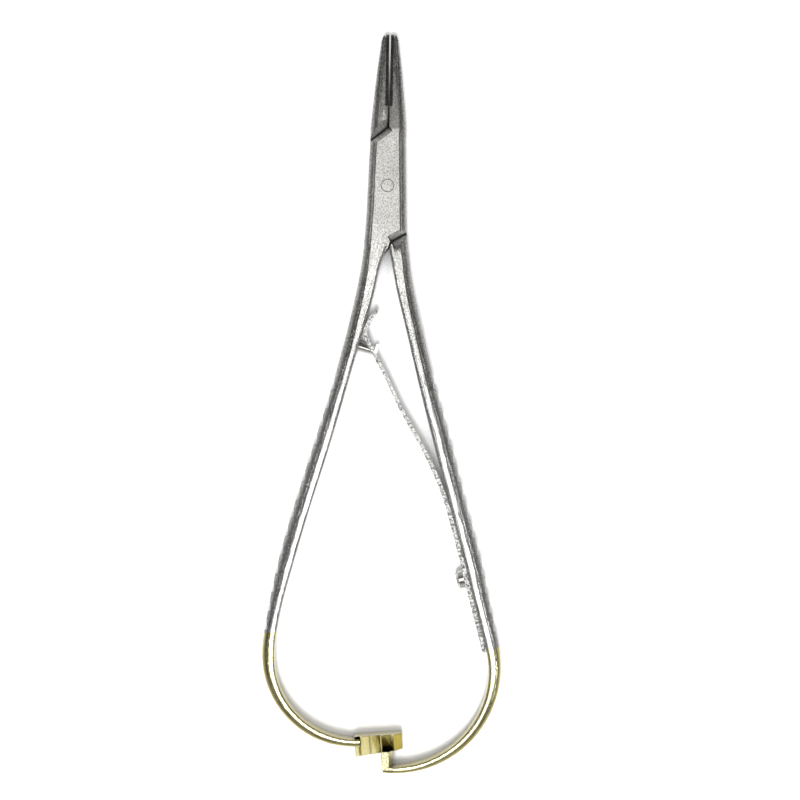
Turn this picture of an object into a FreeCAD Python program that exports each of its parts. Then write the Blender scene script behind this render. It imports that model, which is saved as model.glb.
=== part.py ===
import FreeCAD, Part
import math
import os

from FreeCAD import Vector

# The instrument lies on its side. The origin is the pivot axis where it meets the surface below,
# x runs to the right, y towards the tips of the jaws and z up. Lengths are millimetres.

# Heights of the forged halves, all centred on one level plane
BOX_HEIGHT = 6.0
LIMB_HEIGHT = 5.4
TIP_HEIGHT = 2.8
MIDDLE = BOX_HEIGHT / 2
LIMB_TOP = MIDDLE + LIMB_HEIGHT / 2
LIMB_BOTTOM = MIDDLE - LIMB_HEIGHT / 2

# Jaws, measured from the pivot along a biting line that leans slightly
JAW_LENGTH = 29.0
JAW_LEAN = 1.0
JAW_GAP = 0.3
JAW_START = 10.8
JAW_ROOT = 6.3
JAW_ROOT_WIDTH = 3.3
JAW_START_WIDTH = 3.22
JAW_TIP_WIDTH = 1.3
JAW_SWELL = 0.12
JAW_STATIONS = 5
JAW_FLANK = 1.25
JAW_TIP_FLANK = 0.5
JAW_CROWN = 0.08
NOSE_RADIUS = 1.1
NOSE_DROP = 1.1

# Carbide inserts brazed into the biting faces
INSERT_START = 15.2
INSERT_DEPTH = 0.5
SERRATION_PITCH = 0.6
SERRATION_DEPTH = 0.12

# Box lock: sides of the box in plan as y, left x and right x
BOX_SIDES = [
    (10.80, -3.22, 3.45),
    (8.70, -3.24, 3.47),
    (3.24, -3.53, 3.51),
    (-5.46, -3.96, 3.59),
    (-8.70, -4.22, 3.62),
    (-10.90, -4.42, 3.70),
]
BOX_RUNOUT = 2.7
BOX_TAPER = 0.5
BOX_FLANK = 1.25
PLATE = 1.8
PLATE_PLAY = 0.05
WALL_PLAY = 0.22
SHOULDER_PLAY = 0.25
SIDE_INSET = 0.1
BEVEL_WIDTH = 1.0
BEVEL_DEPTH = 0.8
FACET_WIDTH = 1.6
FACET_DEPTH = 0.9
PIN_DIAMETER = 2.4
PIN_PLAY = 0.03

# Edges of the box plates and of the closed ends of the slot, in plan from the middle outwards
UPPER_EDGE = [(0.30, 11.15), (-2.52, 8.97)]
LOWER_EDGE = [(0.53, -10.49), (3.62, -8.80)]
CROTCH = [(0.10, -11.90), (-0.90, -13.20), (-1.60, -16.00)]
UPPER_WALL = [(0.30, 11.20), (3.50, 8.90)]
LOWER_WALL = [(-0.30, -11.20), (-4.15, -8.43)]
SLOT_REACH = 12.5

# Handles: inner edge in plan, width of the bar and width of its rounded outer flank
LEFT_ROOT = [(-0.45, -7.0, 3.30, 1.20), (0.0, -10.6, 4.30, 1.25)]
LEFT_HANDLE = [
    (-1.20, -14.2, 3.60, 1.3),
    (-2.45, -19.7, 3.25, 1.4),
    (-4.05, -25.4, 2.95, 1.5),
    (-7.40, -36.8, 2.65, 1.5),
    (-11.30, -50.1, 2.90, 1.6),
    (-14.95, -61.5, 2.90, 1.6),
    (-18.30, -72.8, 2.75, 1.5),
    (-20.75, -82.3, 2.25, 1.15),
]
RIGHT_ROOT = [(-0.2, -7.2, 3.80, 1.25), (0.1, -10.4, 3.68, 1.25)]
RIGHT_HANDLE = [
    (0.75, -14.0, 3.35, 1.3),
    (1.75, -19.7, 3.10, 1.4),
    (3.10, -25.4, 3.00, 1.5),
    (5.75, -36.8, 2.95, 1.45),
    (9.10, -50.1, 3.15, 1.5),
    (12.05, -61.5, 3.07, 1.55),
    (15.00, -72.8, 3.05, 1.55),
    (17.30, -82.3, 2.70, 1.4),
]
THINNING_START = -10.0
THINNING_LENGTH = 30.0
ROOT_SINK = 0.2
INNER_ROUND = 0.42
FLANK_FALL = 0.52
RIDGE_STEP = 0.14
RIDGE_DROP = 0.3
LIMB_CROWN = 0.07

# Bows: round springy ends of the handles
LEFT_BOW_CENTRE = (-6.4, -89.0)
LEFT_BOW_RADIUS = 17.4
LEFT_BOW_SWEEP = 94.0
RIGHT_BOW_CENTRE = (1.5, -91.4)
RIGHT_BOW_RADIUS = 20.0
RIGHT_BOW_SWEEP = 97.0
BOW_WIDTH = 2.3
LEFT_BOW_TIP = 1.4
RIGHT_BOW_TIP = 1.1
BOW_FLANK = 1.0
BOW_STATIONS = 6

# Finger grips milled across the outer flanks, each steep on the side of the bow
GRIP_COUNT = 14
GRIP_PITCH = 3.65
GRIP_START = -38.4
GRIP_DEPTH = 0.5
GRIP_STEP = 0.25
GRIP_FLOOR = 0.5
GRIP_RUN = 1.3

# Ratchet: an inclined rack on the left bow and a pawl on the right one
RACK_START = (-6.3, -104.43)
RACK_LENGTH = 9.0
RACK_TILT = 3.4
RACK_WIDE = 4.3
RACK_NARROW = 3.3
RACK_LAND = 0.15
RACK_SLOPE = 40.0
TOOTH_COUNT = 4
TOOTH_PITCH = 2.0
TOOTH_FIRST = 1.1
TOOTH_DEPTH = 0.35
TOOTH_STEP = 0.3
RAMP_DROP = 1.3
PAWL_LEFT = -1.12
PAWL_WIDTH = 2.07
PAWL_NOSE = -107.3
PAWL_PLAY = 0.15
PAWL_CHAMFER = 0.7
PAWL_CHAMFER_DROP = 2.2
CLOSING_ANGLE = 0.5

# Leaf spring: a stretch clamped along the right handle, a free stretch and a curled end
SPRING_THICKNESS = 0.8
SPRING_TIP_THICKNESS = 0.65
SPRING_HEIGHT = 4.4
SPRING_PLAY = 0.05
SPRING_TAIL = -88.4
SPRING_LEAVES = -61.0
SPRING_SEAT_STEPS = 5
SPRING_FREE = [(8.80, -54.0), (5.85, -48.1), (2.35, -41.8), (-0.75, -35.2), (-2.45, -32.0), (-3.75, -29.2)]
SPRING_BEARS = -27.3
SPRING_BEARING_PLAY = 0.1
SPRING_CURL = [(0.50, 1.2), (1.20, 2.5), (2.25, 3.7)]
SLOT_HEIGHT = 2.4
SLOT_LENGTH = 4.4
SLOT_BACK = 1.5
SCREW_PLACE = -74.5
SCREW_HEAD = 3.5
SCREW_HEAD_HEIGHT = 1.4
SCREW_SHANK = 2.0
SCREW_REACH = 1.5
SCREW_PLAY = 0.03
SCREW_EDGE = 0.4
DRIVE_WIDTH = 0.5
DRIVE_DEPTH = 0.45

# Guide stud on the left handle, reaching through the slot of the spring
GUIDE_PLACE = -30.4
GUIDE_DIAMETER = 1.6
GUIDE_REACH = 3.2
GUIDE_SEAT = 1.6
HOOK_LENGTH = 2.1
HOOK_THICKNESS = 0.5

# Length by which cutting shapes stand past the metal
SPARE = 1.0


def prism(points, low, high):
    """Solid over a closed outline in plan, from one height to another."""
    corners = [Vector(point[0], point[1], low) for point in points]
    face = Part.Face(Part.makePolygon(corners + corners[:1]))
    return face.extrude(Vector(0, 0, high - low))


def slab(points):
    """Prism over a plan outline that passes right through the instrument."""
    return prism(points, -SPARE, BOX_HEIGHT + SPARE)


def sweep_face(points, path):
    """Solid made by moving a flat polygon along a vector."""
    return Part.Face(Part.makePolygon(points + points[:1])).extrude(path)


def unit(start, end):
    """Unit vector in plan from one point to another."""
    step = Vector(end[0] - start[0], end[1] - start[1], 0)
    return step.normalize()


def left_of(direction):
    """Direction a quarter turn anticlockwise in plan."""
    return Vector(-direction.y, direction.x, 0)


def shift(point, vector, distance):
    """Plan point moved along a vector."""
    return (point[0] + vector.x * distance, point[1] + vector.y * distance)


def beyond(start, end, distance):
    """Plan point on the line past its end."""
    return shift(end, unit(start, end), distance)


def plan_curve(points):
    """Smooth curve through plan points at the middle height."""
    curve = Part.BSplineCurve()
    curve.interpolate([Vector(point[0], point[1], MIDDLE) for point in points])
    return curve


def place_on(curve, point):
    """Parameter of a plan curve at the place nearest a point."""
    return curve.parameter(Vector(point[0], point[1], MIDDLE))


def parameter_at(curve, y):
    """Parameter of the place where a falling plan curve has the given y."""
    low = curve.FirstParameter
    high = curve.LastParameter
    for step in range(50):
        halfway = (low + high) / 2
        if curve.value(halfway).y > y:
            low = halfway
        else:
            high = halfway
    return halfway


def flank_arc(flat_end, outward, up, width):
    """Arc that leaves a flat smoothly, falls over the width of a flank and ends on its wall."""
    fall = FLANK_FALL * width
    radius = (width ** 2 + fall ** 2) / (2 * fall)
    turn = math.atan2(fall, width)
    centre = flat_end - up * radius
    halfway = centre + up * (radius * math.cos(turn)) + outward * (radius * math.sin(turn))
    return Part.Arc(flat_end, halfway, flat_end + outward * width - up * fall).toShape()


def line(start, end):
    """Straight edge between two points."""
    return Part.LineSegment(start, end).toShape()


def crowned(start, end, rise):
    """Shallow crown between the two edges of a top."""
    curve = Part.BezierCurve()
    curve.setPoles([start, (start + end) / 2 + rise * 2, end])
    return curve.toShape()


def bar_section(inner, outward, width, height, inner_round, outer_round, crown=0.0, inner_ridge=False):
    """Closed section of a bar: top and bottom with rounded flanks and two upright walls. A ridge
    sets a flank a small step below the top. The crown is a share of the width of the top."""
    rise = crown * (width - inner_round - outer_round)
    half = height / 2 - rise
    foot = Vector(inner[0], inner[1], MIDDLE)
    edge = foot + outward * width
    edges = []
    for up in (Vector(0, 0, 1), Vector(0, 0, -1)):
        inner_end = foot + outward * inner_round + up * half
        outer_end = edge - outward * outer_round + up * half
        edges.append(crowned(inner_end, outer_end, up * rise))
        sides = ((inner_end, outward * -1, inner_round, inner_ridge),
                 (outer_end, outward, outer_round, True))
        for start, off, flank, ridge in sides:
            if ridge:
                low = start + off * RIDGE_STEP - up * RIDGE_DROP
                edges += [line(start, low), flank_arc(low, off, up, flank - RIDGE_STEP)]
            else:
                edges.append(flank_arc(start, off, up, flank))
    up = Vector(0, 0, 1)
    for place, flank, ridge in ((foot, inner_round, inner_ridge), (edge, outer_round, True)):
        fall = RIDGE_DROP + FLANK_FALL * (flank - RIDGE_STEP) if ridge else FLANK_FALL * flank
        edges.append(line(place - up * (half - fall), place + up * (half - fall)))
    return Part.Wire(Part.__sortEdges__(edges))


def bow_stations(centre, radius, sweep, end_width, side):
    """Stations of a bow on an arc: inner edge, width and flank, from beside its centre onwards."""
    stations = []
    for index in range(BOW_STATIONS + 1):
        share = index / BOW_STATIONS
        angle = math.radians(sweep * share)
        width = BOW_WIDTH + (end_width - BOW_WIDTH) * share
        reach = radius - width
        x = centre[0] + side * reach * math.cos(angle)
        y = centre[1] - reach * math.sin(angle)
        stations.append((x, y, width, BOW_FLANK * width / BOW_WIDTH))
    return stations


def left_stations():
    """Stations of the left handle and bow, starting inside the box."""
    bow = bow_stations(LEFT_BOW_CENTRE, LEFT_BOW_RADIUS, LEFT_BOW_SWEEP, LEFT_BOW_TIP, -1)
    return LEFT_ROOT + LEFT_HANDLE + bow


def right_stations():
    """Stations of the right handle and bow, starting beside the box."""
    bow = bow_stations(RIGHT_BOW_CENTRE, RIGHT_BOW_RADIUS, RIGHT_BOW_SWEEP, RIGHT_BOW_TIP, 1)
    return RIGHT_ROOT + RIGHT_HANDLE + bow


def limb_share(y):
    """How far a handle has changed from the section at the box to the one of the bow, 0 to 1."""
    return min(max((THINNING_START - y) / THINNING_LENGTH, 0.0), 1.0)


def limb(stations, side, sink):
    """Handle and bow as one smooth bar. Side is 1 for the right limb and -1 for the left one."""
    curve = plan_curve(stations)
    sections = []
    for index, station in enumerate(stations):
        width, flank = station[2:]
        outward = left_of(curve.tangent(place_on(curve, station))[0]) * side
        share = limb_share(station[1])
        height = BOX_HEIGHT + (LIMB_HEIGHT - BOX_HEIGHT) * share - (sink if index == 0 else 0.0)
        sections.append(bar_section(
            station, outward, width, height, INNER_ROUND, flank, LIMB_CROWN * share))
    return Part.makeLoft(sections, True, False)


def outer_curve(stations, side):
    """Plan curve along the outer edge of a limb."""
    curve = plan_curve(stations)
    points = []
    for station in stations:
        outward = left_of(curve.tangent(place_on(curve, station))[0]) * side
        points.append(shift(station, outward, station[2]))
    return plan_curve(points)


def inner_face(stations, side, y):
    """Place on the inner face of a limb at the given y, and the direction off that face."""
    curve = plan_curve(stations)
    parameter = parameter_at(curve, y)
    return curve.value(parameter), left_of(curve.tangent(parameter)[0]) * -side


def grips(stations, side):
    """Notches across the outer flank of a handle."""
    curve = outer_curve(stations, side)
    start = curve.length(curve.FirstParameter, parameter_at(curve, GRIP_START))
    rise = 1 + SPARE / GRIP_DEPTH
    outline = [
        (-GRIP_FLOOR - GRIP_RUN * rise, SPARE),
        (-GRIP_FLOOR, -GRIP_DEPTH),
        (0.0, -GRIP_DEPTH),
        (GRIP_STEP * rise, SPARE),
    ]
    cutters = []
    for index in range(GRIP_COUNT):
        place = curve.parameterAtDistance(start + index * GRIP_PITCH, curve.FirstParameter)
        spot = curve.value(place)
        along = curve.tangent(place)[0]
        outward = left_of(along) * side
        cutters.append(slab([spot + along * run + outward * out for run, out in outline]))
    return cutters


def box_body():
    """The box of the lock as one bar, its ends tapered so that they run into a jaw and a handle."""
    first = BOX_SIDES[0]
    last = BOX_SIDES[-1]
    stations = [(first[0] + BOX_RUNOUT, first[1] + BOX_TAPER, first[2] - BOX_TAPER, BOX_TAPER)]
    stations += [(y, left, right, 0.0) for y, left, right in BOX_SIDES]
    stations += [(last[0] - BOX_RUNOUT, last[1] + BOX_TAPER / 2, last[2] - BOX_TAPER, BOX_TAPER)]
    sections = []
    for y, left, right, sink in stations:
        width = right - left
        height = BOX_HEIGHT - 2 * sink
        sections.append(bar_section(
            (right, y), Vector(-1, 0, 0), width, height, BOX_FLANK, BOX_FLANK, inner_ridge=True))
    return Part.makeLoft(sections, True, True)


def jaw_axes(side):
    """Directions along the jaws, and across them away from the biting line."""
    lean = math.radians(JAW_LEAN)
    along = Vector(math.sin(lean), math.cos(lean), 0)
    across = Vector(math.cos(lean), -math.sin(lean), 0) * side
    return along, across


def jaw_section(side, distance, width, height, flank, crown=0.0):
    """Section of a jaw at a distance from the pivot, with its biting face flat."""
    along, across = jaw_axes(side)
    start = along * distance + across * (JAW_GAP / 2)
    return bar_section(start, across, width, height, SERRATION_DEPTH, flank, crown)


def jaw_blank(side):
    """Tapering part of a jaw, from the lock to a square end."""
    sections = []
    for index in range(JAW_STATIONS + 1):
        share = index / JAW_STATIONS
        swell = JAW_SWELL * math.sin(math.pi * share)
        sections.append(jaw_section(
            side,
            JAW_START + (JAW_LENGTH - JAW_START) * share,
            JAW_START_WIDTH + (JAW_TIP_WIDTH - JAW_START_WIDTH) * share + swell,
            BOX_HEIGHT + (TIP_HEIGHT - BOX_HEIGHT) * share + swell,
            JAW_FLANK + (JAW_TIP_FLANK - JAW_FLANK) * share,
            JAW_CROWN * math.sqrt(share),
        ))
    return Part.makeLoft(sections, True, False)


def jaw_root(side, sink):
    """Full-height root of a jaw, which reaches back into the lock."""
    return Part.makeLoft([
        jaw_section(side, JAW_ROOT, JAW_ROOT_WIDTH - sink, BOX_HEIGHT - 2 * sink, JAW_FLANK),
        jaw_section(side, JAW_START, JAW_START_WIDTH, BOX_HEIGHT, JAW_FLANK),
    ], True, True)


def nose_plan():
    """Plan outline of both jaws with the corners of the nose rounded."""
    along, across = jaw_axes(1)
    half = JAW_TIP_WIDTH + JAW_GAP / 2
    reach = JAW_LENGTH - NOSE_RADIUS
    wide = 3 * BOX_HEIGHT
    points = [across * wide - along * wide, across * wide + along * (reach - NOSE_RADIUS * 2)]
    for step in range(9):
        turn = math.radians(90 * step / 8)
        points.append(across * (half - NOSE_RADIUS + NOSE_RADIUS * math.cos(turn))
                      + along * (reach + NOSE_RADIUS * math.sin(turn)))
    mirrored = [point - across * (2 * point.dot(across)) for point in reversed(points)]
    return slab(points + mirrored)


def nose_profile():
    """Side outline of the jaws, with the top and bottom rolled over at the nose."""
    along, across = jaw_axes(1)
    half = TIP_HEIGHT / 2
    high = 2 * BOX_HEIGHT
    reach = JAW_LENGTH - NOSE_DROP
    profile = [(-high, high), (reach - high, high), (reach - NOSE_DROP, half + NOSE_DROP / 3)]
    for step in range(7):
        turn = math.radians(90 * step / 6)
        profile.append((reach + NOSE_DROP * math.sin(turn), half - NOSE_DROP + NOSE_DROP * math.cos(turn)))
    profile += [(distance, -height) for distance, height in reversed(profile)]
    start = across * -high + Vector(0, 0, MIDDLE)
    points = [start + along * distance + Vector(0, 0, height) for distance, height in profile]
    return sweep_face(points, across * (2 * high))


def rounded_nose(body):
    """Body with the rounded nose of the jaws cut on it."""
    return body.common(nose_plan()).common(nose_profile())


def insert_space(side):
    """Space of a carbide insert, from the biting face into the jaw."""
    along, across = jaw_axes(side)
    near = across * -(JAW_GAP / 2)
    far = across * (JAW_GAP / 2 + INSERT_DEPTH)
    base = along * INSERT_START
    tip = along * (JAW_LENGTH + SPARE)
    return slab([near + base, far + base, far + tip, near + tip])


def insert(side):
    """Carbide insert, flush with its jaw and grooved across the biting face."""
    along, across = jaw_axes(side)
    body = rounded_nose(jaw_blank(side)).common(insert_space(side))
    count = int((JAW_LENGTH - INSERT_START - NOSE_RADIUS) / SERRATION_PITCH)
    cutters = []
    for index in range(count):
        centre = along * (INSERT_START + SERRATION_PITCH * (index + 1)) + across * (JAW_GAP / 2)
        rise = across * (SERRATION_DEPTH / 2)
        half = along * (SERRATION_PITCH / 2)
        cutters.append(slab([centre - half - rise, centre + half - rise, centre + rise * 2]))
    return body.cut(cutters)


def upper_region(play):
    """Plan area of the left jaw above the box plate, moved off the plate by the play."""
    along, across = jaw_axes(1)
    start, end = UPPER_EDGE
    away = left_of(unit(start, end)) * -1
    near = shift(start, away, play)
    far = shift(beyond(start, end, JAW_START), away, play)
    tip = along * (JAW_LENGTH + 3 * SPARE)
    return slab([near, far, (far[0], tip.y), tip])


def lower_edge_off(play):
    """Outer point, inner point and crotch of the lower plate edge, moved off the plate by the play."""
    start, end = LOWER_EDGE
    away = left_of(unit(start, end)) * -1
    outer = shift(beyond(start, end, JAW_START), away, play)
    inner = shift(shift(start, away, play), Vector(1, 0, 0), play / 2)
    return outer, inner, [(x + play, y) for x, y in CROTCH]


def lower_region():
    """Plan area of the right handle below the box plate."""
    outer, inner, crotch = lower_edge_off(0.0)
    low = crotch[-1][1] - JAW_START
    return slab([outer, inner] + crotch + [(crotch[-1][0], low), (outer[0], low)])


def lock_region(play):
    """Plan area of the box that the root of the right handle keeps out of."""
    outer, inner, crotch = lower_edge_off(play)
    left = -outer[0]
    return slab([outer, (outer[0], 0.0), (left, 0.0), (left, crotch[-1][1])] + crotch[::-1] + [inner])


def bevel(start, end, away, width, depth):
    """Pair of wedges that break a top and a bottom edge along a line, from its start outwards past
    its end. Away points off the metal."""
    run = unit(start, end)
    cutters = []
    for level, up in ((BOX_HEIGHT, Vector(0, 0, 1)), (0.0, Vector(0, 0, -1))):
        first = Vector(start[0], start[1], level)
        last = Vector(end[0], end[1], level) + run * BOX_HEIGHT
        outline = [
            first - away * width,
            first - up * depth,
            first + away * width - up * depth,
            first + away * width + up * SPARE,
            first - away * width + up * SPARE,
        ]
        cutters.append(sweep_face(outline, last - first))
    return cutters


def slot():
    """Space between the plates, closed by one wall at each end."""
    upper_far = beyond(UPPER_WALL[0], UPPER_WALL[1], BOX_HEIGHT / 2)
    lower_far = beyond(LOWER_WALL[0], LOWER_WALL[1], BOX_HEIGHT / 2)
    outline = [
        UPPER_WALL[0],
        (UPPER_WALL[0][0], SLOT_REACH),
        (lower_far[0], SLOT_REACH),
        lower_far,
        LOWER_WALL[0],
        (LOWER_WALL[0][0] + SIDE_INSET, -SLOT_REACH),
        (upper_far[0], -SLOT_REACH),
        upper_far,
    ]
    return prism(outline, PLATE, BOX_HEIGHT - PLATE)


def tongue():
    """Flat of the second half that passes through the slot, from the left jaw to the right handle."""
    upper_in = left_of(unit(*UPPER_WALL)) * -1
    lower_in = left_of(unit(*LOWER_WALL)) * -1
    upper = [shift(point, upper_in, WALL_PLAY) for point in UPPER_WALL]
    lower = [shift(point, lower_in, WALL_PLAY) for point in LOWER_WALL]
    walled = [(y, left, right) for y, left, right in BOX_SIDES if abs(y) < min(upper[1][1], -lower[1][1])]
    right_side = [(right - SIDE_INSET, y) for y, left, right in walled]
    left_side = [(left + SIDE_INSET, y) for y, left, right in reversed(walled)]
    handle_root = [(RIGHT_ROOT[1][0] + RIGHT_ROOT[1][2] - 2 * SIDE_INSET, RIGHT_ROOT[1][1]),
                   (RIGHT_HANDLE[0][0] + RIGHT_HANDLE[0][2] / 2, -SLOT_REACH),
                   (RIGHT_HANDLE[0][0] + 2 * SIDE_INSET, -SLOT_REACH)]
    jaw_root_points = [(-JAW_ROOT_WIDTH + 2 * SIDE_INSET, JAW_START), (-JAW_START_WIDTH / 2, SLOT_REACH),
                       (-JAW_GAP, SLOT_REACH)]
    outline = upper + right_side + handle_root + lower + left_side + jaw_root_points
    return prism(outline, PLATE + PLATE_PLAY, BOX_HEIGHT - PLATE - PLATE_PLAY)


def rack_point(run, drop, height=0.0):
    """Point of the rack: along its inner edge, outwards from that edge, and up."""
    tilt = math.radians(RACK_TILT)
    along = Vector(math.cos(tilt), math.sin(tilt), 0)
    outward = Vector(math.sin(tilt), -math.cos(tilt), 0)
    return Vector(RACK_START[0], RACK_START[1], height) + along * run + outward * drop


def slope_prism(outline):
    """Prism down the inclined face, from points given along the rack and off the face."""
    slope = math.radians(RACK_SLOPE)
    reach = 2 * RACK_WIDE
    points = []
    for run, off in outline:
        drop = RACK_LAND + off * math.sin(slope) - reach / 4
        height = LIMB_TOP + off * math.cos(slope) + reach / 4 * math.tan(slope)
        points.append(rack_point(run, drop, height))
    down = rack_point(0, reach) - rack_point(0, 0, reach * math.tan(slope))
    return sweep_face(points, down)


def rack():
    """Rack with an inclined face, sawtooth notches across it and an entry ramp."""
    body = prism([
        rack_point(0, 0),
        rack_point(RACK_LENGTH, 0),
        rack_point(RACK_LENGTH, RACK_NARROW),
        rack_point(0, RACK_WIDE),
    ], LIMB_BOTTOM, LIMB_TOP)
    face = slope_prism([
        (-SPARE, 0.0),
        (RACK_LENGTH + SPARE, 0.0),
        (RACK_LENGTH + SPARE, LIMB_HEIGHT),
        (-SPARE, LIMB_HEIGHT),
    ])
    cutters = [face.common(slab_outside_land())]
    for index in range(TOOTH_COUNT):
        crest = TOOTH_FIRST + index * TOOTH_PITCH
        start = max(crest - TOOTH_PITCH, 0.0)
        cutters.append(slope_prism([
            (start, 0.0),
            (crest - TOOTH_STEP, -TOOTH_DEPTH),
            (crest, 0.0),
            (crest, SPARE),
            (start, SPARE),
        ]))
    ramp = TOOTH_FIRST + (TOOTH_COUNT - 1) * TOOTH_PITCH + TOOTH_STEP
    cutters.append(slope_prism([
        (ramp, 0.0),
        (RACK_LENGTH + TOOTH_STEP, -RAMP_DROP),
        (RACK_LENGTH + TOOTH_STEP, SPARE),
        (ramp, SPARE),
    ]))
    return body.cut(cutters)


def slab_outside_land():
    """Space outwards of the narrow land along the inner edge of the rack."""
    return slab([
        rack_point(-2 * SPARE, RACK_LAND),
        rack_point(RACK_LENGTH + 2 * SPARE, RACK_LAND),
        rack_point(RACK_LENGTH + 2 * SPARE, 2 * RACK_WIDE),
        rack_point(-2 * SPARE, 2 * RACK_WIDE),
    ])


def pawl():
    """Pawl that stands in from the end of the right bow and reaches over the rack."""
    base = RIGHT_BOW_CENTRE[1] - RIGHT_BOW_RADIUS + RIGHT_BOW_TIP / 2
    right = PAWL_LEFT + PAWL_WIDTH
    body = prism([(PAWL_LEFT, base), (right, base), (right, PAWL_NOSE), (PAWL_LEFT, PAWL_NOSE)],
                 LIMB_BOTTOM, LIMB_TOP)
    return body.cut([pawl_relief(), pawl_chamfer(base + RIGHT_BOW_TIP / 2)])


def pawl_relief():
    """Space under the pawl that clears the crests of the rack down to the closing limit."""
    slope = math.tan(math.radians(RACK_SLOPE))
    left = PAWL_LEFT + math.radians(CLOSING_ANGLE) * PAWL_NOSE
    run = left - RACK_START[0]
    edge = rack_point(run, 0).y
    fall = (edge - PAWL_NOSE - RACK_LAND) * slope
    face = LIMB_TOP - fall + PAWL_PLAY * math.hypot(1, slope)
    width = RACK_WIDE + (RACK_NARROW - RACK_WIDE) * run / RACK_LENGTH
    wall = edge - width - PAWL_PLAY
    start = PAWL_LEFT - SPARE
    profile = [
        Vector(start, PAWL_NOSE + SPARE, face + SPARE * slope),
        Vector(start, wall, face - (PAWL_NOSE - wall) * slope),
        Vector(start, wall, -SPARE),
        Vector(start, PAWL_NOSE + SPARE, -SPARE),
    ]
    return sweep_face(profile, Vector(PAWL_WIDTH + 2 * SPARE, 0, 0))


def pawl_chamfer(start):
    """Steep facet on the free side of the pawl."""
    right = PAWL_LEFT + PAWL_WIDTH
    profile = [
        Vector(right - PAWL_CHAMFER, start, LIMB_TOP),
        Vector(right, start, LIMB_TOP - PAWL_CHAMFER_DROP),
        Vector(right + SPARE, start, LIMB_TOP - PAWL_CHAMFER_DROP),
        Vector(right + SPARE, start, LIMB_TOP + SPARE),
        Vector(right - PAWL_CHAMFER, start, LIMB_TOP + SPARE),
    ]
    return sweep_face(profile, Vector(0, 2 * RACK_WIDE, 0))


def peg(foot, direction, diameter, length):
    """Round peg from a point along a direction."""
    return Part.makeCylinder(diameter / 2, length, foot, direction)


def pivot_pin():
    """Riveted pin, ground flush with both plates."""
    return peg(Vector(0, 0, 0), Vector(0, 0, 1), PIN_DIAMETER, BOX_HEIGHT)


def guide_frame():
    """Foot of the guide stud on the left handle, its direction, and the direction of its hook."""
    foot, off = inner_face(left_stations(), -1, GUIDE_PLACE)
    return foot, off, left_of(off)


def spring_guide():
    """Guide stud with a short hook that lies behind the spring."""
    foot, off, up = guide_frame()
    shank = peg(foot - off * GUIDE_SEAT, off, GUIDE_DIAMETER, GUIDE_SEAT + GUIDE_REACH)
    start = foot + off * GUIDE_REACH - up * (GUIDE_DIAMETER / 2)
    low = MIDDLE - GUIDE_DIAMETER / 2
    hook = prism([
        start,
        start + off * HOOK_THICKNESS,
        start + off * HOOK_THICKNESS + up * HOOK_LENGTH,
        start + off * (HOOK_THICKNESS / 2) + up * (HOOK_LENGTH + HOOK_THICKNESS / 3),
        start + up * HOOK_LENGTH,
    ], low, low + GUIDE_DIAMETER)
    return shank.fuse(hook)


def guide_hole():
    """Blind hole that seats the guide stud in the left handle."""
    foot, off, up = guide_frame()
    return peg(foot - off * GUIDE_SEAT, off, GUIDE_DIAMETER, GUIDE_SEAT + SPARE)


def screw_frame():
    """Place of the screw on the inner face of the right handle, and the direction of its head."""
    return inner_face(right_stations(), 1, SCREW_PLACE)


def spring_screw():
    """Cheese-head screw that clamps the spring to the handle."""
    foot, off = screw_frame()
    seat = foot + off * (SPRING_THICKNESS + 2 * SPRING_PLAY)
    head = Part.makeCylinder(SCREW_HEAD / 2, SCREW_HEAD_HEIGHT)
    rim = [edge for edge in head.Edges if edge.Closed and edge.CenterOfMass.z > SCREW_HEAD_HEIGHT / 2]
    head = head.makeChamfer(SCREW_EDGE, rim)
    drive = Part.makeBox(DRIVE_WIDTH, 2 * SCREW_HEAD, DRIVE_DEPTH + SPARE)
    drive.translate(Vector(-DRIVE_WIDTH / 2, -SCREW_HEAD, SCREW_HEAD_HEIGHT - DRIVE_DEPTH))
    head = head.cut(drive)
    head.Placement = FreeCAD.Placement(seat, FreeCAD.Rotation(Vector(0, 0, 1), off))
    shank = peg(foot - off * SCREW_REACH, off, SCREW_SHANK, SCREW_REACH + (seat - foot).Length)
    return head.fuse(shank)


def screw_hole():
    """Hole for the shank of the screw, through the spring and into the handle."""
    foot, off = screw_frame()
    depth = SCREW_REACH + SCREW_PLAY
    return peg(foot - off * depth, off, SCREW_SHANK + 2 * SCREW_PLAY, depth + SPRING_THICKNESS + SPARE)


def spring_route():
    """Centre line of the leaf spring: along the right handle, across the gap, and its curled end."""
    stations = right_stations()
    seat = SPRING_PLAY + SPRING_THICKNESS / 2
    route = []
    for index in range(SPRING_SEAT_STEPS + 1):
        y = SPRING_TAIL + (SPRING_LEAVES - SPRING_TAIL) * index / SPRING_SEAT_STEPS
        foot, off = inner_face(stations, 1, y)
        point = foot + off * seat
        route.append((point.x, point.y))
    foot, off = inner_face(left_stations(), -1, SPRING_BEARS)
    bearing = foot + off * (SPRING_BEARING_PLAY + SPRING_TIP_THICKNESS / 2)
    route += SPRING_FREE + [(bearing.x, bearing.y)]
    route += [(bearing.x + x, bearing.y + y) for x, y in SPRING_CURL]
    return route


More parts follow.
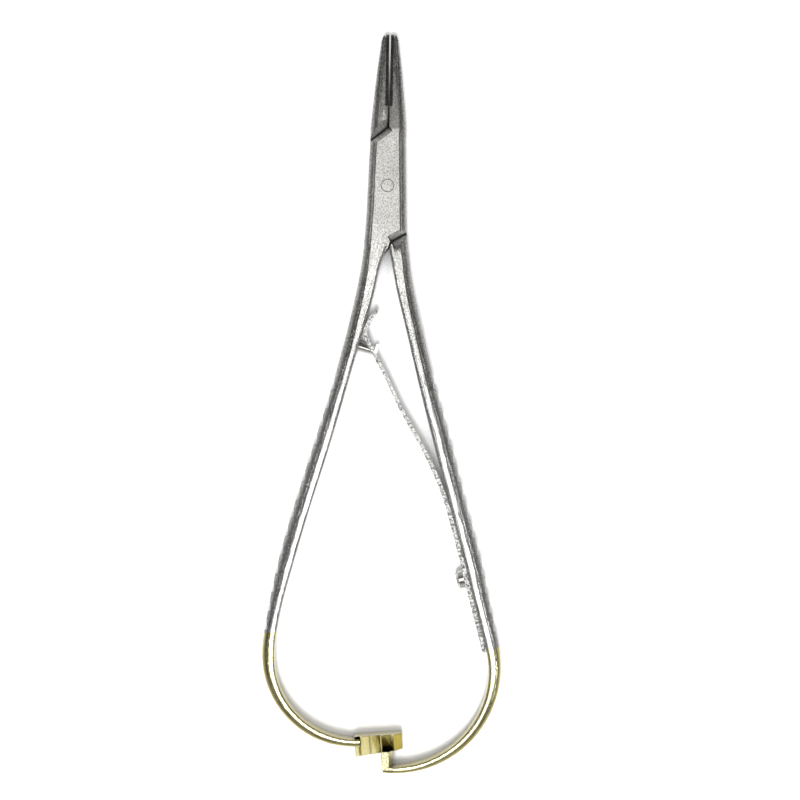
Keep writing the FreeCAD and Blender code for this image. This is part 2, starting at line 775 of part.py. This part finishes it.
def leaf_spring():
    """Ribbon on edge, tapered along its free stretch, with a hole for its screw and a slot."""
    points = spring_route()
    route = plan_curve(points)
    seated = SPRING_SEAT_STEPS
    near = []
    far = []
    for index, point in enumerate(points):
        share = max(index - seated, 0) / (len(points) - 1 - seated)
        half = (SPRING_THICKNESS + (SPRING_TIP_THICKNESS - SPRING_THICKNESS) * share) / 2
        across = left_of(route.tangent(place_on(route, point))[0])
        near.append(shift(point, across, half))
        far.append(shift(point, across, -half))
    tail = Part.LineSegment(Vector(*far[0], MIDDLE), Vector(*near[0], MIDDLE)).toShape()
    tip = Part.LineSegment(Vector(*near[-1], MIDDLE), Vector(*far[-1], MIDDLE)).toShape()
    face = Part.Face(Part.Wire([plan_curve(near).toShape(), tip, plan_curve(far).toShape(), tail]))
    face.translate(Vector(0, 0, -SPRING_HEIGHT / 2))
    ribbon = face.extrude(Vector(0, 0, SPRING_HEIGHT))
    return ribbon.cut([spring_window(), screw_hole()])


def spring_window():
    """Slot of the spring, in which the guide stud slides."""
    foot, off, up = guide_frame()
    start = foot - up * SLOT_BACK
    reach = off * (2 * GUIDE_REACH)
    return prism([start, start + reach, start + reach + up * SLOT_LENGTH, start + up * SLOT_LENGTH],
                 MIDDLE - SLOT_HEIGHT / 2, MIDDLE + SLOT_HEIGHT / 2)


def edge_frame(edge, play):
    """Plate edge moved off the plate by the play, and the direction off the plate."""
    away = left_of(unit(*edge)) * -1
    return [shift(point, away, play) for point in edge], away


def box_half():
    """Half with the box: right jaw, both plates, left handle and the rack on its bow."""
    body = box_body().fuse([rounded_nose(jaw_blank(1)), jaw_root(1, BOX_TAPER / 2)])
    cutters = [upper_region(0.0), lower_region()]
    for edge in (UPPER_EDGE, LOWER_EDGE):
        (start, end), away = edge_frame(edge, 0.0)
        cutters += bevel(start, end, away, BEVEL_WIDTH, BEVEL_DEPTH)
    stations = left_stations()
    body = body.cut(cutters).fuse([limb(stations, -1, ROOT_SINK), rack()])
    return body.cut([slot(), pivot_pin(), insert_space(1), guide_hole()] + grips(stations, -1))


def tongue_half():
    """Half with the tongue: left jaw, tongue, right handle and the pawl on its bow."""
    (start, end), away = edge_frame(UPPER_EDGE, SHOULDER_PLAY)
    upper = rounded_nose(jaw_blank(-1)).fuse(jaw_root(-1, 0.0)).common(upper_region(SHOULDER_PLAY))
    through = beyond(end, start, SPARE)
    upper = upper.cut(bevel(through, end, away * -1, FACET_WIDTH, FACET_DEPTH))
    (start, end), away = edge_frame(LOWER_EDGE, SHOULDER_PLAY)
    stations = right_stations()
    lower = limb(stations, 1, 0.0).cut(lock_region(SHOULDER_PLAY))
    lower = lower.cut(bevel(start, end, away * -1, FACET_WIDTH, FACET_DEPTH))
    bore = peg(Vector(0, 0, 0), Vector(0, 0, 1), PIN_DIAMETER + 2 * PIN_PLAY, BOX_HEIGHT)
    body = upper.fuse([tongue(), lower, pawl()])
    return body.cut([bore, insert_space(-1), screw_hole()] + grips(stations, 1))


def jaw_insert_right():
    return insert(1)


def jaw_insert_left():
    return insert(-1)


os.makedirs("parts", exist_ok=True)
for make in (box_half, tongue_half, pivot_pin, jaw_insert_right, jaw_insert_left,
             leaf_spring, spring_screw, spring_guide):
    make().exportStep("parts/" + make.__name__ + ".step")
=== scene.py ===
import math

import bmesh
import bpy
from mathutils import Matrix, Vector


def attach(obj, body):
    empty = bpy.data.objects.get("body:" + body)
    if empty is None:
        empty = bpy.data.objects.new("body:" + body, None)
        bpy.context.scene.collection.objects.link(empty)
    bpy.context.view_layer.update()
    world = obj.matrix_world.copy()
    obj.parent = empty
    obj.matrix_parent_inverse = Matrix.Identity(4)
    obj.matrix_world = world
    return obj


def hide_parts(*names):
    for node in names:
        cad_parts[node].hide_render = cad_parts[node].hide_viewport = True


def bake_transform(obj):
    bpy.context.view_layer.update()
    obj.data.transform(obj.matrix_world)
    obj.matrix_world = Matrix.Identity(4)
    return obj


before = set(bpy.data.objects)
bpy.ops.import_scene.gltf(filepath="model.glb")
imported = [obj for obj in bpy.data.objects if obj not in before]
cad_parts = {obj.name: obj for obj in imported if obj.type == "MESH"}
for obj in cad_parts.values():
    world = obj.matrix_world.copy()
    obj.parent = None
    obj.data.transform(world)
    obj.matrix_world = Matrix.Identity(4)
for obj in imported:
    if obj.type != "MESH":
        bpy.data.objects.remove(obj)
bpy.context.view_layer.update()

# Box half: one steel forging with the right jaw, the two plates of the lock, the left handle and
# its bow with the rack. It is ground, then satin finished, with painted dark lines along its edges
# and painted shade in its creases, and its bow and rack are gold plated.


def node(tree, kind, **settings):
    """New shader node with its own settings."""
    made = tree.nodes.new(kind)
    for name, value in settings.items():
        setattr(made, name, value)
    return made


def math_node(tree, operation, first, second=0.0):
    """Math node fed by two sockets or numbers."""
    made = node(tree, "ShaderNodeMath", operation=operation)
    for socket, value in zip(made.inputs, (first, second)):
        if isinstance(value, (int, float)):
            socket.default_value = value
        else:
            tree.links.new(value, socket)
    return made.outputs[0]


def mix_colour(tree, share, first, second, blend="MIX"):
    """Colour mix fed by sockets, numbers or colours."""
    made = node(tree, "ShaderNodeMix", data_type="RGBA", blend_type=blend)
    for socket, value in ((made.inputs[0], share), (made.inputs[6], first), (made.inputs[7], second)):
        if isinstance(value, (int, float)):
            socket.default_value = value
        elif isinstance(value, tuple):
            socket.default_value = (*value, 1.0)
        else:
            tree.links.new(value, socket)
    return made.outputs[2]


def grain(tree, size, stretch=1.0, turn=0.0, detail=2.0):
    """Noise with spots of a size in the object's own millimetres, stretched along its second axis and
    turned by degrees in plan."""
    millimetre = 0.001
    place = node(tree, "ShaderNodeTexCoord").outputs["Object"]
    mapping = node(tree, "ShaderNodeMapping", vector_type="TEXTURE")
    mapping.inputs["Rotation"].default_value = (0, 0, math.radians(turn))
    mapping.inputs["Scale"].default_value = (millimetre, millimetre * stretch, millimetre)
    tree.links.new(place, mapping.inputs["Vector"])
    noise = node(tree, "ShaderNodeTexNoise")
    noise.inputs["Scale"].default_value = 1.0 / size
    noise.inputs["Detail"].default_value = detail
    tree.links.new(mapping.outputs[0], noise.inputs["Vector"])
    return noise.outputs["Fac"]


def ramp(tree, value, low, high, first, second):
    """Value mapped from one range to another and held at its ends."""
    made = node(tree, "ShaderNodeMapRange")
    ends = {"From Min": low, "From Max": high, "To Min": first, "To Max": second}
    for name, number in ends.items():
        made.inputs[name].default_value = number
    tree.links.new(value, made.inputs["Value"])
    return made.outputs["Result"]


def spread(tree, noise, first=0.0, second=1.0):
    """Noise stretched from the range that it mostly keeps to, to two values."""
    usual_low, usual_high = 0.3, 0.7
    return ramp(tree, noise, usual_low, usual_high, first, second)


def metal(name):
    """New metal with its node tree and its shader."""
    material = bpy.data.materials.new(name)
    material.use_nodes = True
    shader = material.node_tree.nodes["Principled BSDF"]
    shader.inputs["Metallic"].default_value = 1.0
    return material, material.node_tree, shader


def relief(tree, shader, height, strength, depth):
    """Bump of a given depth in metres over the surface of a shader."""
    made = node(tree, "ShaderNodeBump")
    made.inputs["Strength"].default_value = strength
    made.inputs["Distance"].default_value = depth
    tree.links.new(height, made.inputs["Height"])
    tree.links.new(made.outputs[0], shader.inputs["Normal"])
    return made


def forged_steel(name, lean, plated_below, worn_from):
    """Satin steel with grinding lines that lean with the handle by degrees, gold plated from one place
    along the instrument down to the bow. The plating is rubbed to the left of another place, which
    lies beyond the piece where none of it is rubbed."""
    material, tree, shader = metal(name)
    place = node(tree, "ShaderNodeSeparateXYZ")
    tree.links.new(node(tree, "ShaderNodeTexCoord").outputs["Object"], place.inputs[0])
    facing = node(tree, "ShaderNodeSeparateXYZ")
    tree.links.new(node(tree, "ShaderNodeTexCoord").outputs["Normal"], facing.inputs[0])
    upright = math_node(tree, "ABSOLUTE", facing.outputs["Z"])
    level = ramp(tree, upright, 0.93, 0.985, 0.0, 1.0)
    # Level tops of the handles: a painted highlight in the colour, and finer polish in the roughness
    polish_and_highlight = math_node(tree, "MULTIPLY", ramp(tree, place.outputs["Y"], -0.030, -0.060, 0.0, 0.9), level)

    blast = grain(tree, size=0.22, detail=3.0)
    lines = grain(tree, size=0.16, stretch=26.0, turn=lean)
    clouds = grain(tree, size=3.2, stretch=2.0, turn=lean, detail=3.0)
    from_pivot = math_node(tree, "ABSOLUTE", place.outputs["Y"])
    off_box = ramp(tree, from_pivot, 0.009, 0.020, 0.25, 1.0)

    # Steel: clouded, pitted, scratched lengthwise, with a painted highlight on the level tops of the
    # handles, where the fingers also polish it
    dark_pit, dark_scratch, painted_top_highlight = (0.20, 0.195, 0.185), (0.17, 0.168, 0.16), (0.93, 0.92, 0.91)
    steel = mix_colour(tree, spread(tree, clouds), (0.45, 0.44, 0.42), (0.60, 0.59, 0.57))
    speck = ramp(tree, grain(tree, size=0.25, stretch=1.6, turn=lean), 0.38, 0.58, 0.7, 0.0)
    steel = mix_colour(tree, speck, steel, dark_pit)
    streak = math_node(tree, "MULTIPLY", ramp(tree, lines, 0.52, 0.66, 0.0, 0.6), off_box)
    steel = mix_colour(tree, streak, steel, dark_scratch)
    # Painted highlight: the level tops of the handles turned near white
    steel = mix_colour(tree, polish_and_highlight, steel, painted_top_highlight)

    # Gold: painted shade on the flanks, a painted highlight on the level top, and rubbed off in specks
    # on the pawl
    painted_flank_shade, painted_gold_highlight, rubbed_gold = (0.72, 0.70, 0.60), (0.97, 0.93, 0.64), (0.33, 0.27, 0.10)
    plating_blur, rub_blur = 0.0001, 0.0003
    height = math_node(tree, "ADD", place.outputs["Y"], spread(tree, clouds, -0.0003, 0.0003))
    plated = ramp(tree, height, plated_below + plating_blur, plated_below - plating_blur, 0.0, 1.0)
    gold = mix_colour(tree, spread(tree, clouds), (0.84, 0.76, 0.37), (0.92, 0.86, 0.52))
    # Painted light: the gold's flanks darkened and its level top made pale
    gold = mix_colour(tree, level, mix_colour(tree, 1.0, gold, painted_flank_shade, "MULTIPLY"), painted_gold_highlight)
    on_pawl = ramp(tree, place.outputs["X"], worn_from, worn_from - rub_blur, 0.0, 1.0)
    rubs = ramp(tree, grain(tree, size=0.3), 0.42, 0.58, 0.8, 0.2)
    gold = mix_colour(tree, math_node(tree, "MULTIPLY", on_pawl, rubs), gold, rubbed_gold)
    colour = mix_colour(tree, plated, steel, gold)

    # Painted shade in the creases, and painted dark lines where the surface bends within the width of
    # an edge
    crease_reach, edge_width, soft_edge = 0.0009, 0.0002, 0.00006
    painted_edge_shade_steel, painted_edge_shade_gold = (0.03, 0.03, 0.03), (0.10, 0.085, 0.03)
    # Painted shade: colour darkened where ambient occlusion finds the surface closed in
    creases = node(tree, "ShaderNodeAmbientOcclusion", samples=8)
    creases.inputs["Distance"].default_value = crease_reach
    painted_crease_shade = ramp(tree, creases.outputs["AO"], 0.50, 0.92, 0.05, 1.0)
    shade = node(tree, "ShaderNodeCombineColor")
    for socket in shade.inputs[:3]:
        tree.links.new(painted_crease_shade, socket)
    colour = mix_colour(tree, 1.0, colour, shade.outputs[0], "MULTIPLY")
    rounded = node(tree, "ShaderNodeBevel", samples=8)
    rounded.inputs["Radius"].default_value = edge_width
    likeness = node(tree, "ShaderNodeVectorMath", operation="DOT_PRODUCT")
    tree.links.new(rounded.outputs[0], likeness.inputs[0])
    tree.links.new(node(tree, "ShaderNodeNewGeometry").outputs["Normal"], likeness.inputs[1])
    # Painted shade: dark edge lines where the bevelled normal turns away from the shading normal
    edges = ramp(tree, likeness.outputs["Value"], 0.990, 0.945, 0.0, 0.9)
    line = mix_colour(tree, plated, painted_edge_shade_steel, painted_edge_shade_gold)
    tree.links.new(mix_colour(tree, edges, colour, line), shader.inputs["Base Color"])

    # Satin sheen, finer off the box, where it is handled and on the gold
    satin = math_node(tree, "ADD", spread(tree, blast, 0.26, 0.38), spread(tree, lines, 0.0, 0.05))
    satin = math_node(tree, "MULTIPLY", satin, ramp(tree, off_box, 0.25, 1.0, 1.0, 0.8))
    satin = math_node(tree, "MULTIPLY", satin, ramp(tree, polish_and_highlight, 0.0, 1.0, 1.0, 0.7))
    satin = math_node(tree, "MULTIPLY", satin, ramp(tree, plated, 0.0, 1.0, 1.0, 0.65))
    tree.links.new(satin, shader.inputs["Roughness"])
    scratches = math_node(tree, "MULTIPLY", math_node(tree, "MULTIPLY", lines, 1.2), off_box)
    surface = math_node(tree, "ADD", math_node(tree, "MULTIPLY", blast, 0.7), scratches)
    bump = relief(tree, shader, surface, strength=0.8, depth=0.000018)
    worn = node(tree, "ShaderNodeBevel", samples=4)
    worn.inputs["Radius"].default_value = soft_edge
    tree.links.new(worn.outputs[0], bump.inputs["Normal"])
    return material


def smooth_copy(name, source, material):
    """Merged copy of a solid with soft shading inside its sharp edges."""
    sharp_from, same_place, sliver = math.radians(32.0), 2e-7, 1e-7
    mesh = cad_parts[source].data.copy()
    mesh.name = name
    shape = bmesh.new()
    shape.from_mesh(mesh)
    bmesh.ops.remove_doubles(shape, verts=shape.verts, dist=same_place)
    bmesh.ops.dissolve_degenerate(shape, edges=shape.edges, dist=sliver)
    for face in shape.faces:
        face.smooth = True
    for edge in shape.edges:
        edge.smooth = len(edge.link_faces) == 2 and edge.calc_face_angle(0.0) <= sharp_from
    shape.to_mesh(mesh)
    shape.free()
    mesh.materials.clear()
    mesh.materials.append(material)
    piece = bpy.data.objects.new(name, mesh)
    bpy.context.scene.collection.objects.link(piece)
    piece.modifiers.new("even", "WEIGHTED_NORMAL").keep_sharp = True
    finished = bpy.data.meshes.new_from_object(piece.evaluated_get(bpy.context.evaluated_depsgraph_get()))
    piece.modifiers.clear()
    piece.data = finished
    return piece


steel_left = forged_steel("satin_steel_left", lean=-16.0, plated_below=-0.0846, worn_from=-0.03)
forged_left = smooth_copy("forged_box_half", "box_half", steel_left)
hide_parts("box_half")
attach(forged_left, "box_side")

# Tongue half: the second forging, with the left jaw, the flat that passes through the box, the
# right handle and its bow with the pawl. Same steel and finish, plated a little lower down, with
# the plating rubbed dull on the pawl.

steel_right = forged_steel("satin_steel_right", lean=15.5, plated_below=-0.0877, worn_from=0.0012)
forged_right = smooth_copy("forged_tongue_half", "tongue_half", steel_right)
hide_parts("tongue_half")
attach(forged_right, "tongue_side")

# Pivot pin: a steel rivet through both plates, ground flush and finished with them, so that only a
# faint ring shows on the box.

pin = smooth_copy("pivot_rivet", "pivot_pin", steel_left)
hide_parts("pivot_pin")
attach(pin, "box_side")

# Jaw inserts: tungsten carbide strips brazed along the biting faces and ground with fine serrations,
# darker and duller than the steel.

carbide, tree, shader = metal("ground_carbide")
mottle = spread(tree, grain(tree, size=0.5, stretch=3.0, turn=1.0, detail=3.0))
tree.links.new(mix_colour(tree, mottle, (0.035, 0.034, 0.034), (0.10, 0.098, 0.095)),
               shader.inputs["Base Color"])
tree.links.new(spread(tree, grain(tree, size=0.1), 0.38, 0.55), shader.inputs["Roughness"])
for node_name, piece_name, body in (("jaw_insert_right", "carbide_strip_right", "box_side"),
                                    ("jaw_insert_left", "carbide_strip_left", "tongue_side")):
    strip = smooth_copy(piece_name, node_name, carbide)
    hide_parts(node_name)
    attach(strip, body)

# Leaf spring: a strip of polished spring steel standing on edge, screwed along the right handle and
# bearing with its curled end on the left one, with rough sheared edges.

spring_steel, tree, shader = metal("spring_steel")
ticks = grain(tree, size=0.3, turn=30.0)
bright = ramp(tree, ticks, 0.38, 0.62, 0.0, 1.0)
tree.links.new(mix_colour(tree, bright, (0.06, 0.06, 0.055), (0.80, 0.79, 0.77)),
               shader.inputs["Base Color"])
tree.links.new(spread(tree, ticks, 0.30, 0.45), shader.inputs["Roughness"])
relief(tree, shader, ticks, strength=0.5, depth=0.000012)
leaf = smooth_copy("leaf", "leaf_spring", spring_steel)
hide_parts("leaf_spring")
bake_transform(leaf)

# Spring screw: a slotted cheese-head screw, turned and polished, that clamps the leaf to the right
# handle.

polished, tree, shader = metal("polished_steel")
wipe = grain(tree, size=0.25, detail=3.0)
tree.links.new(mix_colour(tree, spread(tree, wipe), (0.44, 0.43, 0.42), (0.60, 0.59, 0.57)),
               shader.inputs["Base Color"])
tree.links.new(spread(tree, wipe, 0.16, 0.28), shader.inputs["Roughness"])
screw = smooth_copy("spring_screw_turned", "spring_screw", polished)
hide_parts("spring_screw")
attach(screw, "tongue_side")

# Spring guide: a turned and polished stud pressed into a blind hole of the left handle, with a bent
# nose that passes through the slot of the leaf and keeps it on the handle.

guide = smooth_copy("spring_guide_stud", "spring_guide", polished)
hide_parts("spring_guide")
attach(guide, "box_side")

# Floor, lamps and camera: a white table with painted shade in the narrow gaps of the instrument,
# a softbox in front that casts the soft shadow and that the metal doesn't reflect, a wide softbox
# and a bright strip overhead, and a camera that looks straight down.

paper = bpy.data.materials.new("white_table")
paper.use_nodes = True
tree = paper.node_tree
tree.nodes.clear()
painted_gap_shade, white_paper, glow_strength, gap_reach = (0.02, 0.02, 0.02), (0.9, 0.9, 0.9), 0.12, 0.005
seen = node(tree, "ShaderNodeLightPath")
through = math_node(tree, "MAXIMUM", seen.outputs["Is Glossy Ray"], seen.outputs["Is Transmission Ray"])
background = math_node(tree, "MAXIMUM", seen.outputs["Is Camera Ray"], through)
gaps = node(tree, "ShaderNodeAmbientOcclusion", samples=8)
gaps.inputs["Distance"].default_value = gap_reach
# Painted shade: the table darkened and its glow dimmed where the instrument closes it in
openness = ramp(tree, gaps.outputs["AO"], 0.10, 0.32, 0.0, 1.0)
matte = node(tree, "ShaderNodeBsdfDiffuse")
tree.links.new(mix_colour(tree, openness, painted_gap_shade, white_paper), matte.inputs["Color"])
glow = node(tree, "ShaderNodeEmission")
lit = math_node(tree, "MULTIPLY", background, glow_strength)
tree.links.new(math_node(tree, "MULTIPLY", lit, openness), glow.inputs["Strength"])
both = node(tree, "ShaderNodeAddShader")
tree.links.new(matte.outputs[0], both.inputs[0])
tree.links.new(glow.outputs[0], both.inputs[1])
tree.links.new(both.outputs[0], node(tree, "ShaderNodeOutputMaterial").inputs["Surface"])
half_side, below_metal = 3, 0.00002
table = bpy.data.meshes.new("table_top")
table.from_pydata([(-half_side, -half_side, 0), (half_side, -half_side, 0),
                   (half_side, half_side, 0), (-half_side, half_side, 0)], [], [(0, 1, 2, 3)])
table.materials.append(paper)
floor = bpy.data.objects.new("table_top", table)
bpy.context.scene.collection.objects.link(floor)
floor.location.z = -below_metal


def softbox(name, place, width, depth, radiance):
    """Area lamp of an even brightness that points at the middle of the instrument."""
    middle = Vector((0.002, -0.041, 0.003))
    lamp = bpy.data.lights.new(name, "AREA")
    lamp.shape = "RECTANGLE"
    lamp.size = width
    lamp.size_y = depth
    lamp.energy = radiance * math.pi * width * depth
    made = bpy.data.objects.new(name, lamp)
    made.location = place
    made.rotation_euler = (middle - Vector(place)).to_track_quat("-Z", "Y").to_euler()
    bpy.context.scene.collection.objects.link(made)
    return made


key = softbox("key_softbox", (-0.05, -0.40, 1.30), width=0.3, depth=0.3, radiance=62.0)
key.visible_glossy = False
softbox("overhead_softbox", (0.0, -0.05, 0.72), width=0.26, depth=0.46, radiance=1.9)
softbox("strip_softbox", (0.05, -0.07, 0.60), width=0.03, depth=0.5, radiance=9.0)

# Room: white low down and most of all in front, nearly dark overhead
world = bpy.data.worlds.new("studio")
world.use_nodes = True
tree = world.node_tree
direction = node(tree, "ShaderNodeSeparateXYZ")
tree.links.new(node(tree, "ShaderNodeTexCoord").outputs["Generated"], direction.inputs[0])
front = ramp(tree, direction.outputs["Y"], -0.4, -0.8, 0.75, 1.0)
low_down = ramp(tree, direction.outputs["Z"], 0.3, 0.9, 1.0, 0.05)
tree.links.new(math_node(tree, "MULTIPLY", low_down, front), tree.nodes["Background"].inputs["Strength"])
tree.nodes["Background"].inputs["Color"].default_value = (1.0, 1.0, 1.0, 1.0)
bpy.context.scene.world = world
bpy.context.scene.view_settings.view_transform = "Standard"

lens = bpy.data.cameras.new("camera")
lens.lens = 110.5
lens.sensor_width = 36.0
camera = bpy.data.objects.new("camera", lens)
camera.location = (0.00237, -0.0406, 0.4709)
bpy.context.scene.collection.objects.link(camera)
bpy.context.scene.camera = camera
